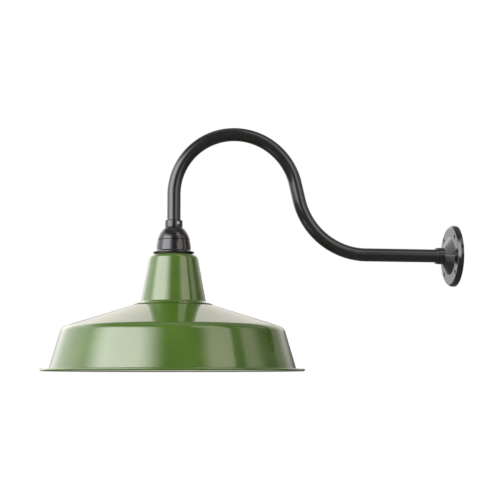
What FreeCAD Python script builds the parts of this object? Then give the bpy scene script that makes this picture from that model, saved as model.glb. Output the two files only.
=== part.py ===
import FreeCAD
import Part
import math
import os
import re
import Sketcher
from FreeCAD import Placement, Rotation, Vector

# A gooseneck wall sconce: a cast wall plate, a bent conduit arm, a bell cap and an enamelled steel shade.
# The origin is the centre of the wall plate's back, on the wall. +Y goes into the wall, the arm comes out
# along -Y, +Z is up, and the whole lamp is symmetrical about the plane X = 0. Lengths are in millimetres.

DOC = FreeCAD.newDocument("GooseneckSconce")

# ---------------------------------------------------------------------------------------------- sizes

SIZES = [
    # the bent arm
    ("arm_reach", 432, "wall face to the lamp's axis"),
    ("tube_dia", 20, "conduit outside diameter"),
    ("tube_wall", 1.5, "conduit wall"),
    ("upper_bend", 93, "centreline radius of the large bend over the lamp"),
    ("lower_bend", 106, "centreline radius of the bend that meets the level run"),
    ("arm_slope", 77, "steepness of the straight between the bends, degrees"),
    ("slant", 25, "length of the straight between the bends"),
    ("leg_show", 38.2, "upright length from the large bend to the collar"),
    ("tube_seat", 17, "wall face to the conduit's end in the wall plate"),
    # the wall plate
    ("plate_dia", 93.6, "wall plate diameter"),
    ("plate_edge", 4.1, "height of the plate's upright edge"),
    ("plate_thick", 8.4, "wall face to the plate's front face"),
    ("plate_bevel", 2.9, "width of the sloped band round the front face"),
    ("plate_web", 3, "metal behind the front face"),
    ("plate_rim", 5, "width of the rim that stands on the wall"),
    ("hub_dia", 58, "foot of the cone on the front face"),
    ("hub_rise", 10.1, "height of that cone"),
    ("hub_wall", 3.7, "depth of metal in the cone, along the arm"),
    ("boss_dia", 25.4, "boss that takes the conduit"),
    ("boss_length", 8.4, "length of the boss past the cone"),
    ("ring_thick", 4.1, "thickness of the arm's lock ring"),
    ("ring_dia", 24.2, "diameter of the arm's lock ring"),
    ("fixing_inset", 9.3, "plate's edge to the centres of the fixing holes"),
    ("fixing_hole", 5.5, "fixing hole diameter"),
    ("fixing_count", 4, "number of fixing holes"),
    ("fixing_boss", 10, "diameter of the pads behind the fixing holes"),
    # the wires and their fittings in the wall plate
    ("wire_dia", 2.4, "insulated wire diameter"),
    ("wire_pitch", 5, "spacing of the three wires, side by side"),
    ("wire_bend", 5, "radius of a wire's turn to its terminal"),
    ("wire_level", 5.5, "wall face to the wires at their terminals"),
    ("bush_wall", 1.5, "thickness of the plastic end bushes"),
    ("bush_length", 8, "length of a bush inside the conduit"),
    ("bush_flange", 19.2, "diameter of a bush's flange"),
    ("block_width", 16, "terminal block, across the wires"),
    ("block_depth", 12, "terminal block, along the wires"),
    ("block_height", 7.8, "terminal block, away from the wall"),
    ("block_offset", 13.5, "arm axis to the terminal block's centre"),
    ("earth_offset", 15, "arm axis to the earth screw of the plate"),
    ("block_screw_head", 5, "head of the screw that holds the block"),
    ("block_screw_rise", 1, "height of that head"),
    ("pillar_dia", 6.4, "cast pillars for the block and the earth screw"),
    ("lug_dia", 6.8, "ring of an earth lug"),
    ("lug_thick", 0.8, "thickness of an earth lug"),
    ("lug_barrel", 3.4, "diameter of an earth lug's barrel"),
    ("lug_barrel_length", 4, "length of that barrel"),
    ("earth_head", 5.8, "head of an earth screw"),
    ("earth_head_rise", 2.4, "height of an earth screw's head"),
    ("earth_shank", 3, "shank of an earth screw"),
    ("earth_grip", 4, "length of an earth screw in its metal"),
    ("clamp_screw", 3.4, "wire clamping screw diameter"),
    ("clamp_depth", 2.6, "depth of a wire clamping screw in the block"),
    # the collar, the bell cap and the gallery
    ("collar_dia", 26, "collar over the cap"),
    ("collar_height", 10.5, "height of the collar"),
    ("grub_dia", 4, "grub screw in the collar"),
    ("grub_proud", 0.6, "grub screw outside the collar"),
    ("grub_socket", 2, "hexagon socket of the grub screw, across its corners"),
    ("grub_turn", 24, "turn of the grub screw from the side toward the wall, degrees"),
    ("dome_height", 19.4, "bell cap above its seam"),
    ("dome_round", 30.3, "radius of the bell's outline"),
    ("dome_top", 26, "diameter of the bell cap's flat top"),
    ("dome_lip", 0.9, "height of the small step at the bell's top"),
    ("dome_wall", 2.2, "wall of the bell cap"),
    ("dome_roof", 3.4, "thickness of the bell cap's top"),
    ("seam_dia", 47.6, "bell cap diameter at its seam"),
    ("seam_groove", 0.5, "chamfer that shows as the seam"),
    ("cap_thread", 44, "thread that joins the bell cap to the gallery"),
    ("cap_thread_length", 6, "length of that thread"),
    ("nut_dia", 25, "ring nut under the bell cap's top"),
    ("nut_thick", 4.2, "thickness of that ring nut"),
    ("tube_below", 2.4, "conduit past that ring nut"),
    ("gallery_height", 19.3, "gallery from seam to the underside of its brim"),
    ("gallery_dia", 50.6, "widest part of the gallery's wall"),
    ("gallery_bore", 43, "inside of the gallery"),
    ("brim_dia", 61.2, "flared brim of the gallery"),
    ("brim_thick", 1.4, "thickness of the brim's edge"),
    ("brim_round", 3.5, "radius of the flare into the brim"),
    ("gallery_round", 64, "radius of the gallery's slightly bulged wall"),
    ("gallery_upright", 8, "brim underside to where that bulge starts"),
    ("spigot_dia", 47, "threaded spigot through the shade's neck"),
    ("spigot_length", 14, "length of that spigot"),
    ("web_height", 8, "brim underside to the gallery's inner web"),
    ("web_thick", 2.5, "thickness of the web"),
    ("web_hole", 26.6, "hole in the web round the lampholder"),
    ("gasket_thick", 3, "rubber gasket under the brim"),
    ("gasket_dia", 56, "gasket diameter"),
    ("clamp_ring_dia", 56, "ring nut that holds the shade"),
    ("clamp_ring_thick", 5, "thickness of that ring nut"),
    ("ring_notches", 6, "spanner notches round that ring nut"),
    # the lampholder
    ("holder_dia", 41, "porcelain lampholder diameter"),
    ("holder_length", 56, "lampholder below the web"),
    ("holder_neck", 26, "raised top of the lampholder, inside the web"),
    ("holder_rise", 5, "height of that raised top"),
    ("holder_mouth", 33, "open mouth of the lampholder"),
    ("mouth_depth", 11.5, "depth of that mouth"),
    ("chamber_depth", 15, "web underside to the roof of the contact chamber"),
    ("holder_round", 2, "rounding of the lampholder's lower edge"),
    ("holder_screw_circle", 34.6, "circle through the lampholder's screws"),
    ("holder_screws", 2, "number of lampholder screws"),
    ("holder_screw", 3.4, "lampholder screw"),
    ("holder_screw_head", 6, "head of a lampholder screw"),
    ("holder_screw_rise", 2.2, "height of that head"),
    ("holder_screw_grip", 8, "length of that screw in the porcelain"),
    ("earth_post_offset", 16.4, "lamp axis to the earth post in the cap"),
    ("earth_post_dia", 6, "diameter of that post"),
    ("earth_post_rise", 4.2, "height of that post on the web"),
    ("terminal_count", 2, "number of brass terminals"),
    ("terminal_width", 6, "brass terminal, across"),
    ("terminal_depth", 7, "brass terminal, front to back"),
    ("terminal_height", 7, "brass terminal, upright"),
    ("terminal_screw", 3.2, "head of a terminal screw"),
    ("terminal_screw_rise", 1.6, "height of that head"),
    ("terminal_shank", 2.2, "shank of a terminal screw"),
    ("terminal_grip", 2, "length of that shank in the brass"),
    ("shell_length", 29, "lampholder's brass screw shell"),
    ("shell_wall", 0.5, "thickness of that shell"),
    ("shell_hole", 11, "hole in the shell's top for the contact"),
    ("contact_dia", 8, "sprung centre contact"),
    ("contact_thick", 1.5, "thickness of the contact's head"),
    ("contact_stem", 4, "stem of the contact"),
    ("contact_stem_length", 10, "length of that stem"),
    ("slide_gap", 0.3, "clearance round what slides or turns"),
    # the enamelled shade
    ("sheet_thick", 1.2, "enamelled steel sheet"),
    ("neck_top_dia", 70.2, "neck at its flat top, before the corner's rounding"),
    ("neck_height", 70, "neck from flat top to its foot"),
    ("neck_rake", 10.4, "slope of the neck from upright, degrees"),
    ("neck_round", 7, "rounding of the neck's top corner"),
    ("neck_flange", 10, "flange round the neck's foot, down the slope of the shoulder"),
    ("neck_foot_round", 2.5, "rounding between neck and flange"),
    ("lap_height", 12, "part of the dish that stands up inside the neck"),
    ("shoulder_fall", 17.6, "slope of the shoulder from level, degrees"),
    ("skirt_rake", 16.4, "slope of the skirt from upright, degrees"),
    ("skirt_height", 61.5, "height of the skirt"),
    ("shoulder_round", 6, "rounding between shoulder and skirt"),
    ("rim_dia", 388, "shade over its rolled rim"),
    ("lip_width", 12.4, "level lip outside the skirt, to the rim's tip"),
    ("lip_round", 2.4, "rounding between skirt and lip"),
    ("bead_radius", 1.8, "radius of the rolled rim"),
    # the lamp
    ("contact_depth", 20.5, "web underside to the tip of the lamp when it is home"),
    ("lamp_length", 105, "lamp, tip to crown"),
    ("globe_dia", 60, "lamp's glass globe"),
    ("glass_neck", 25, "neck of the glass"),
    ("glass_sweep", 38, "radius of the curve from neck to globe"),
    ("glass_wall", 1, "thickness of the glass"),
    ("lamp_cap_dia", 26, "lamp's screw cap"),
    ("lamp_cap_bottom", 29, "tip of the lamp to the lower edge of its cap"),
    ("lamp_cap_top", 6.5, "tip of the lamp to the upper edge of its cap"),
    ("lamp_tip_dia", 9.2, "lamp's tip contact"),
    ("lamp_tip_thick", 1.5, "thickness of that contact"),
    ("glass_overlap", 8, "glass inside the lamp's cap"),
]

SHEET = DOC.addObject("Spreadsheet::Sheet", "Sizes")
for row, (alias, value, note) in enumerate(SIZES, 1):
    SHEET.set(f"A{row}", alias)
    SHEET.set(f"B{row}", str(value))
    SHEET.set(f"C{row}", note)
    SHEET.setAlias(f"B{row}", alias)
DOC.recompute()
ALIASES = {alias for alias, value, note in SIZES}
NEAR = 1e-4


def bound(formula):
    """The formula with each bare size name read from the sheet."""
    return re.sub(r"[a-z_]+", lambda word: "Sizes." + word[0] if word[0] in ALIASES else word[0], str(formula))


def number(formula):
    """What a formula comes to with the sheet's present values."""
    return float(SHEET.evalExpression(bound(formula)))


# Heights on the lamp's axis and depths on the arm's axis, as formulas of the sizes.
BEND_LEVEL = "(slant * sin(arm_slope) + lower_bend * (1 - cos(arm_slope)) - upper_bend * cos(arm_slope))"
COLLAR_LEVEL = f"({BEND_LEVEL} - leg_show - collar_height)"
NUT_LEVEL = f"({COLLAR_LEVEL} - dome_roof)"
TUBE_END_LEVEL = f"({NUT_LEVEL} - nut_thick - tube_below)"
SEAM_LEVEL = f"({COLLAR_LEVEL} - dome_height)"
BRIM_LEVEL = f"({SEAM_LEVEL} - gallery_height)"
NECK_LEVEL = f"({BRIM_LEVEL} - gasket_thick)"
HOLDER_LEVEL = f"({BRIM_LEVEL} + web_height)"
WEB_TOP_LEVEL = f"({HOLDER_LEVEL} + web_thick)"
TERMINAL_LEVEL = f"({HOLDER_LEVEL} + holder_rise)"
TIP_LEVEL = f"({HOLDER_LEVEL} - contact_depth)"
LUG_LEVEL = f"({WEB_TOP_LEVEL} + earth_post_rise + lug_thick / 2)"
BOSS_END = "(plate_thick + hub_rise + boss_length)"
HOLDER_SCREW_SPOT = ("holder_screw_circle / 2 * cos(45)", "holder_screw_circle / 2 * sin(45)")

# How the bodies stand: on the wall with Z out of it, against the wall with Z into it, and the turned ones.
UPRIGHT = Rotation()
ON_WALL = Rotation(Vector(1, 0, 0), 90)
INTO_WALL = Rotation(Vector(1, 0, 0), -90)
LUG_UPRIGHT = Rotation(Vector(0, 0, 1), -90)
LUG_ON_WALL = Rotation(Vector(0, 0, -1), Vector(1, 0, 0), Vector(0, -1, 0), "ZXY")
GRUB_TURN = Rotation(Vector(0, 0, 1), 90)


# -------------------------------------------------------------------------------------------- helpers

def origin_plane(body, role):
    """One of a body's own origin planes."""
    return next(item for item in body.Origin.OriginFeatures if item.Role == role)


def piece(name, up="0", turn=UPRIGHT, out="0", aside="0"):
    """An empty body, placed by formulas: aside along X, out from the wall and up."""
    body = DOC.addObject("PartDesign::Body", name)
    body.Label = name
    body.AllowCompound = True
    body.Placement = Placement(Vector(0, 0, 0), turn)
    body.setExpression("Placement.Base.x", bound(aside))
    body.setExpression("Placement.Base.y", bound(f"0 - {out}"))
    body.setExpression("Placement.Base.z", bound(up))
    return body


def lamp_piece(name, level):
    """A body on the lamp's axis, its own origin at a level."""
    return piece(name, up=level, out="arm_reach")


def wall_piece(name, depth="0"):
    """A body on the arm's axis, its own Z coming out of the wall from a depth."""
    return piece(name, turn=ON_WALL, out=depth)


def sketch_on(body, role, name, offset="0"):
    """A sketch on one of the body's origin planes, moved along the plane's normal."""
    sketch = body.newObject("Sketcher::SketchObject", name)
    sketch.AttachmentSupport = [(origin_plane(body, role), "")]
    sketch.MapMode = "FlatFace"
    sketch.setExpression("AttachmentOffset.Base.z", bound(offset))
    return sketch


def pin_point(sketch, geometry, end, across, up):
    """Ties a point of the sketch to two formulas, measured from the sketch's origin."""
    for axis, kind, formula in ((-2, "DistanceX", across), (-1, "DistanceY", up)):
        if formula == "0":
            sketch.addConstraint(Sketcher.Constraint("PointOnObject", geometry, end, axis))
            continue
        index = sketch.addConstraint(Sketcher.Constraint(kind, -1, 1, geometry, end, number(formula)))
        sketch.setExpression(f"Constraints[{index}]", bound(formula))


def draw(sketch, corners, closed=True):
    """Joins corners by straight edges. A corner (across, up, radius, side) starts an arc that turns to that
    side on its way to the next corner."""
    spots = [Vector(number(corner[0]), number(corner[1]), 0) for corner in corners]
    count = len(corners) if closed else len(corners) - 1
    first = sketch.GeometryCount
    starts = []
    for index in range(count):
        start, end = spots[index], spots[(index + 1) % len(spots)]
        if len(corners[index]) == 2:
            sketch.addGeometry(Part.LineSegment(start, end))
            starts.append((1, 2))
            continue
        radius = number(corners[index][2])
        left = corners[index][3] == "left"
        chord = end - start
        across = Vector(-chord.y, chord.x, 0).normalize() * (1 if left else -1)
        centre = (start + end) * 0.5 + across * math.sqrt(radius ** 2 - chord.Length ** 2 / 4)
        first_spot, last_spot = (start, end) if left else (end, start)
        begin = math.atan2(first_spot.y - centre.y, first_spot.x - centre.x)
        finish = math.atan2(last_spot.y - centre.y, last_spot.x - centre.x)
        if finish < begin:
            finish += 2 * math.pi
        circle = Part.Circle(centre, Vector(0, 0, 1), radius)
        sketch.addGeometry(Part.ArcOfCircle(circle, begin, finish))
        starts.append((1, 2) if left else (2, 1))
    for index in range(count):
        follower = (index + 1) % count
        if closed or follower:
            link = (first + index, starts[index][1], first + follower, starts[follower][0])
            sketch.addConstraint(Sketcher.Constraint("Coincident", *link))
    for index in range(len(corners)):
        edge = min(index, count - 1)
        end = starts[edge][0] if index < count else starts[edge][1]
        pin_point(sketch, first + edge, end, corners[index][0], corners[index][1])
    for index in range(count):
        if len(corners[index]) > 2:
            radius = number(corners[index][2])
            place = sketch.addConstraint(Sketcher.Constraint("Radius", first + index, radius))
            sketch.setExpression(f"Constraints[{place}]", bound(corners[index][2]))
    return sketch


def draw_circle(sketch, diameter, across="0", up="0"):
    """A circle tied to formulas."""
    centre = Vector(number(across), number(up), 0)
    radius = number(diameter) / 2
    index = sketch.addGeometry(Part.Circle(centre, Vector(0, 0, 1), radius))
    place = sketch.addConstraint(Sketcher.Constraint("Diameter", index, 2 * radius))
    sketch.setExpression(f"Constraints[{place}]", bound(diameter))
    if across == "0" and up == "0":
        sketch.addConstraint(Sketcher.Constraint("Coincident", index, 3, -1, 1))
    else:
        pin_point(sketch, index, 3, across, up)
    return sketch


def rectangle(width, height, across="0", up="0"):
    """Corners of a rectangle about a centre."""
    left, right = f"{across} - ({width}) / 2", f"{across} + ({width}) / 2"
    low, high = f"{up} - ({height}) / 2", f"{up} + ({height}) / 2"
    return [(left, low), (right, low), (right, high), (left, high)]


def turn_profile(body, corners):
    """Revolves a closed outline of (radius, height) corners about the body's Z."""
    sketch = draw(sketch_on(body, "XZ_Plane", "Profile"), corners)
    turned = body.newObject("PartDesign::Revolution", "Turned")
    turned.Profile = sketch
    turned.ReferenceAxis = (sketch, ["V_Axis"])
    turned.Angle = 360
    DOC.recompute()
    return turned


def ring_edges(feature, diameter, height, away="0"):
    """Names of a feature's circular edges of one diameter, height and distance from the body's Z."""
    wanted = (number(diameter) / 2, number(height), number(away))
    found = []
    for index, edge in enumerate(feature.Shape.Edges, 1):
        curve = edge.Curve
        if isinstance(curve, Part.Circle):
            centre = curve.Center
            measured = (curve.Radius, centre.z, math.hypot(centre.x, centre.y))
            if all(abs(one - other) < NEAR for one, other in zip(measured, wanted)):
                found.append(f"Edge{index}")
    if not found:
        raise RuntimeError(f"{feature.Label}: no ring of {diameter} at {height}")
    return found


def soften(body, kind, base, edges, size):
    """A fillet or chamfer of the named edges, with its size tied to a formula."""
    feature = body.newObject(f"PartDesign::{kind}", kind)
    feature.Base = (base, edges)
    feature.setExpression("Radius" if kind == "Fillet" else "Size", bound(size))
    body.Tip = feature
    DOC.recompute()
    return feature


def pad(body, sketch, length, down=False):
    """Pads a sketch by a formula, along its plane's normal or against it."""
    feature = body.newObject("PartDesign::Pad", "Pad")
    feature.Profile = sketch
    feature.Reversed = down
    feature.setExpression("Length", bound(length))
    DOC.recompute()
    return feature


def pocket(body, sketch, length=None, up=False):
    """Cuts a sketch against its plane's normal, or along it, to a formula's depth or through everything."""
    before = body.Shape.Volume
    feature = body.newObject("PartDesign::Pocket", "Pocket")
    feature.Profile = sketch
    feature.Reversed = up
    if length is None:
        feature.Type = "ThroughAll"
    else:
        feature.setExpression("Length", bound(length))
    DOC.recompute()
    if body.Shape.Volume > before - NEAR:
        raise RuntimeError(f"{body.Label}: {feature.Label} cuts nothing")
    return feature


def around(body, features, count, name="Around"):
    """Repeats features evenly round the body's Z."""
    pattern = body.newObject("PartDesign::PolarPattern", name)
    pattern.Originals = features
    pattern.Axis = (origin_axis(body, "Z_Axis"), [""])
    pattern.Angle = 360
    pattern.setExpression("Occurrences", bound(count))
    body.Tip = pattern
    DOC.recompute()
    return pattern


def origin_axis(body, role):
    """One of a body's own origin axes."""
    return next(item for item in body.Origin.OriginFeatures if item.Role == role)


def washer(body, bore, outside, low, high):
    """A plain ring between two heights."""
    inner, outer = f"{bore} / 2", f"{outside} / 2"
    return turn_profile(body, [(inner, low), (outer, low), (outer, high), (inner, high)])


def screw(body, shank, head, grip, rise):
    """A headed screw, its head seated at the body's zero and its shank below."""
    low = f"0 - ({grip})"
    return turn_profile(body, [("0", low), (f"{shank} / 2", low), (f"{shank} / 2", "0"), (f"{head} / 2", "0"),
                               (f"{head} / 2", rise), ("0", rise)])


def sweep(body, profile, route):
    """Carries a closed profile along a route."""
    feature = body.newObject("PartDesign::AdditivePipe", "Swept")
    feature.Profile = profile
    feature.Spine = (route, [f"Edge{index + 1}" for index in range(route.GeometryCount)])
    DOC.recompute()
    return feature


# --------------------------------------------------------------------------------- wall plate and arm

HUB_SLOPE = "((hub_dia - boss_dia) / 2 / hub_rise)"
BLOCK_LOW = "(wire_level - block_height / 2)"
BLOCK_TOP = "(wire_level + block_height / 2)"
LUG_SEAT = "(wire_level + lug_thick / 2)"
PILLARS = (("Block", "0 - block_offset", BLOCK_TOP), ("Earth", "earth_offset", LUG_SEAT))
SIDES = ("0 - wire_pitch", "wire_pitch")


def make_wall_plate():
    """Cast plate: bevelled disc, cone and boss, hollow behind, with pads round its fixing holes."""
    body = wall_piece("wall_plate")
    face = "(plate_dia / 2 - plate_bevel)"
    roof = "(plate_thick - plate_web)"
    cavity = "(plate_dia / 2 - plate_rim)"
    bore_end = f"((hub_dia - tube_dia) / 2 / {HUB_SLOPE} + plate_thick - hub_wall)"
    tip = turn_profile(body, [
        (cavity, "0"), ("plate_dia / 2", "0"), ("plate_dia / 2", "plate_edge"), (face, "plate_thick"),
        ("hub_dia / 2", "plate_thick"), ("boss_dia / 2", "plate_thick + hub_rise"),
        ("boss_dia / 2", BOSS_END), ("tube_dia / 2", BOSS_END), ("tube_dia / 2", bore_end),
        (f"hub_dia / 2 - {HUB_SLOPE} * (hub_wall - plate_web)", roof), (cavity, roof)])
    tip = soften(body, "Fillet", tip, ring_edges(tip, "hub_dia", "plate_thick"), "plate_web * 0.8")
    tip = soften(body, "Fillet", tip, ring_edges(tip, f"2 * {face}", "plate_thick"), "plate_edge / 2")
    soften(body, "Fillet", tip, ring_edges(tip, "plate_dia", "plate_edge"), "plate_edge / 4")
    hole_circle = "(plate_dia / 2 - fixing_inset)"
    across, up = f"{hole_circle} * cos(45)", f"{hole_circle} * sin(45)"
    pads = draw_circle(sketch_on(body, "XY_Plane", "HolePads"), "fixing_boss", across, up)
    around(body, [pad(body, pads, f"{roof} + plate_web / 2")], "fixing_count", "HolePadsAround")
    for name, offset, level in PILLARS:
        outline = draw_circle(sketch_on(body, "XY_Plane", name + "Pillar", level), "pillar_dia", "0", offset)
        pad(body, outline, f"plate_thick + hub_rise / 2 - {level}")
    for name, offset, level in PILLARS:
        outline = draw_circle(sketch_on(body, "XY_Plane", name + "Tap", level), "earth_shank", "0", offset)
        pocket(body, outline, "earth_grip", up=True)
    holes = draw_circle(sketch_on(body, "XY_Plane", "Holes"), "fixing_hole", across, up)
    tip = around(body, [pocket(body, holes, up=True)], "fixing_count", "HolesAround")
    rims = ring_edges(tip, "fixing_hole", "plate_thick", hole_circle)
    soften(body, "Chamfer", tip, rims, "plate_web / 4")
    return body


def make_arm_lock_ring():
    """Thin ring nut that locks the conduit at the end of the boss."""
    body = wall_piece("arm_lock_ring", BOSS_END)
    tip = washer(body, "tube_dia", "ring_dia", "0", "ring_thick")
    soften(body, "Fillet", tip, ring_edges(tip, "ring_dia", "ring_thick"), "ring_thick / 4")
    slots = draw(sketch_on(body, "XY_Plane", "Slots", "ring_thick"), rectangle("ring_dia + 1", "ring_thick / 2"))
    pocket(body, slots, "ring_thick / 3")
    return body


def arm_route(sketch, head, tail):
    """The arm's centreline in its own plane, in (y, z), between given first points and given last points."""
    slant_top = ("0 - arm_reach + upper_bend * (1 + sin(arm_slope))", f"{BEND_LEVEL} + upper_bend * cos(arm_slope)")
    slant_low = (f"{slant_top[0]} + slant * cos(arm_slope)", f"{slant_top[1]} - slant * sin(arm_slope)")
    level_end = (f"{slant_low[0]} + lower_bend * sin(arm_slope)", "0")
    bends = [level_end + ("lower_bend", "right"), slant_low, slant_top + ("upper_bend", "left")]
    return draw(sketch, head + bends + [("0 - arm_reach", BEND_LEVEL)] + tail, closed=False)


def make_arm_tube():
    """Conduit bent into the gooseneck."""
    body = piece("arm_tube")
    head, tail = [("0 - tube_seat", "0")], [("0 - arm_reach", TUBE_END_LEVEL)]
    route = arm_route(sketch_on(body, "YZ_Plane", "Route"), head, tail)
    section = sketch_on(body, "XZ_Plane", "Section", "tube_seat")
    draw_circle(section, "tube_dia")
    draw_circle(section, "tube_dia - 2 * tube_wall")
    sweep(body, section, route)
    return body


def make_bush(body):
    """Plastic bush in a conduit's open end, its flange against the cut. The body's Z goes into the conduit."""
    outer = "(tube_dia / 2 - tube_wall)"
    inner = f"({outer} - bush_wall)"
    turn_profile(body, [(inner, "0 - bush_wall"), ("bush_flange / 2", "0 - bush_wall"), ("bush_flange / 2", "0"),
                        (outer, "0"), (outer, "bush_length"), (inner, "bush_length")])
    return body


def make_wire(name, shift, head, tail):
    """A wire that follows the arm inside, to one side of its plane."""
    body = piece(name, aside=shift)
    route = arm_route(sketch_on(body, "YZ_Plane", "Route"), head, tail)
    section = sketch_on(body, "XY_Plane", "Section", head[0][1])
    draw_circle(section, "wire_dia", "0", head[0][0])
    sweep(body, section, route)
    return body


def make_wires():
    """Live and neutral from the block to the lampholder's terminals, and earth from lug to lug."""
    turn_end = ("0 - wire_level - wire_bend", "0")
    block_face = "0 - (block_offset - block_depth / 2)"
    block_head = [("0 - wire_level", block_face), ("0 - wire_level", "0 - wire_bend", "wire_bend", "left"), turn_end]
    holder_tail = [("0 - arm_reach", f"{TERMINAL_LEVEL} + terminal_height")]
    lug_reach = "(lug_dia / 2 + lug_barrel_length)"
    earth_head = [("0 - wire_level", f"earth_offset - {lug_reach}"),
                  ("0 - wire_level", "wire_bend", "wire_bend", "right"), turn_end]
    earth_tail = [("0 - arm_reach", f"{LUG_LEVEL} + wire_bend", "wire_bend", "left"),
                  ("0 - arm_reach + wire_bend", LUG_LEVEL),
                  (f"0 - arm_reach + earth_post_offset - {lug_reach}", LUG_LEVEL)]
    return [make_wire("live_wire", SIDES[0], block_head, holder_tail),
            make_wire("neutral_wire", SIDES[1], block_head, holder_tail),
            make_wire("earth_wire", "0", earth_head, earth_tail)]


def make_terminal_block():
    """Two-way plastic terminal block, its wire side toward the arm's axis."""
    body = wall_piece("plate_terminal_block", BLOCK_LOW)
    outline = rectangle("block_width", "block_depth", "0", "0 - block_offset")
    pad(body, draw(sketch_on(body, "XY_Plane", "Outline"), outline), "block_height")
    wells = sketch_on(body, "XY_Plane", "Wells")
    for side in SIDES:
        draw_circle(wells, "clamp_screw", side, "0 - block_offset")
    pocket(body, wells, "clamp_depth", up=True)
    centre = draw_circle(sketch_on(body, "XY_Plane", "Centre"), "earth_shank", "0", "0 - block_offset")
    pocket(body, centre, up=True)
    supply = sketch_on(body, "XZ_Plane", "Supply", "block_offset + block_depth / 2")
    for side in SIDES:
        draw_circle(supply, "wire_dia + slide_gap", side, "block_height / 2")
    pocket(body, supply, "block_depth / 4")
    return body


def make_plate_screws():
    """Clamping screws of the block, the screw that holds it and the screw of the earth lug."""
    clamps = wall_piece("plate_terminal_screws", BLOCK_LOW)
    outline = sketch_on(clamps, "XY_Plane", "Outline")
    for side in SIDES:
        draw_circle(outline, "clamp_screw", side, "0 - block_offset")
    pad(clamps, outline, "clamp_depth")
    fixing = piece("block_fixing_screw", up="0 - block_offset", turn=INTO_WALL, out=BLOCK_LOW)
    screw(fixing, "earth_shank", "block_screw_head", "block_height + earth_grip", "block_screw_rise")
    earth = piece("plate_earth_screw", up="earth_offset", turn=INTO_WALL, out="(wire_level - lug_thick / 2)")
    screw(earth, "earth_shank", "earth_head", "lug_thick + earth_grip", "earth_head_rise")
    return [clamps, fixing, earth]


def make_earth_lug(body):
    """Ring lug whose barrel meets the earth wire. The body's X runs from the screw toward the wire."""
    ring = sketch_on(body, "XY_Plane", "Ring", "0 - lug_thick / 2")
    draw_circle(ring, "lug_dia")
    draw_circle(ring, "earth_shank")
    pad(body, ring, "lug_thick")
    start, end = "(lug_dia / 2 - earth_shank / 4)", "(lug_dia / 2 + lug_barrel_length / 2)"
    tongue = rectangle(f"{end} - {start}", "lug_barrel / 2", f"({start} + {end}) / 2")
    pad(body, draw(sketch_on(body, "XY_Plane", "Tongue", "0 - lug_thick / 2"), tongue), "lug_thick")
    barrel = draw_circle(sketch_on(body, "YZ_Plane", "Barrel", "lug_dia / 2"), "lug_barrel")
    pad(body, barrel, "lug_barrel_length")
    return body


# ------------------------------------------------------------------------------------- cap and gallery

def make_cap_collar():
    """Collar that grips the conduit above the bell cap, with the hole of its grub screw."""
    body = piece("cap_collar", up=COLLAR_LEVEL, turn=GRUB_TURN, out="arm_reach")
    body.setExpression("Placement.Rotation.Angle", bound("90 + grub_turn"))
    tip = washer(body, "tube_dia", "collar_dia", "0", "collar_height")
    tip = soften(body, "Fillet", tip, ring_edges(tip, "collar_dia", "collar_height"), "(collar_dia - tube_dia) / 3")
    soften(body, "Chamfer", tip, ring_edges(tip, "collar_dia", "0"), "(collar_dia - tube_dia) / 12")
    hole = draw_circle(sketch_on(body, "XZ_Plane", "GrubHole"), "grub_dia", "0", "collar_height / 2")
    pocket(body, hole, up=True)
    return body


def make_grub_screw():
    """Grub screw that stands on the conduit, with a hexagon socket."""
    body = piece("collar_grub_screw", up=f"{COLLAR_LEVEL} + collar_height / 2", turn=GRUB_TURN, out="arm_reach")
    body.setExpression("Placement.Rotation.Angle", bound("90 + grub_turn"))
    outline = draw_circle(sketch_on(body, "XZ_Plane", "Outline", "tube_dia / 2"), "grub_dia")
    pad(body, outline, "(collar_dia - tube_dia) / 2 + grub_proud")
    corners = [(f"grub_socket / 2 * cos({turn})", f"grub_socket / 2 * sin({turn})") for turn in range(30, 390, 60)]
    socket = draw(sketch_on(body, "XZ_Plane", "Socket", "collar_dia / 2 + grub_proud"), corners)
    pocket(body, socket, "grub_socket / 2")
    return body


def make_bell_cap():
    """Spun bell over the wiring, with a thread below its seam."""
    body = lamp_piece("bell_cap", SEAM_LEVEL)
    inside = "(cap_thread / 2 - dome_wall)"
    low = "(0 - cap_thread_length)"
    tip = turn_profile(body, [
        (inside, low), ("cap_thread / 2", low), ("cap_thread / 2", "0"),
        ("seam_dia / 2", "0", "dome_round", "left"), ("dome_top / 2", "dome_height - dome_lip"),
        ("dome_top / 2", "dome_height"), ("tube_dia / 2", "dome_height"), ("tube_dia / 2", "dome_height - dome_roof"),
        ("nut_dia / 2 + 2 * slide_gap", "dome_height - dome_roof", "dome_round", "right"), (inside, "0")])
    soften(body, "Chamfer", tip, ring_edges(tip, "seam_dia", "0"), "seam_groove")
    return body


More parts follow.
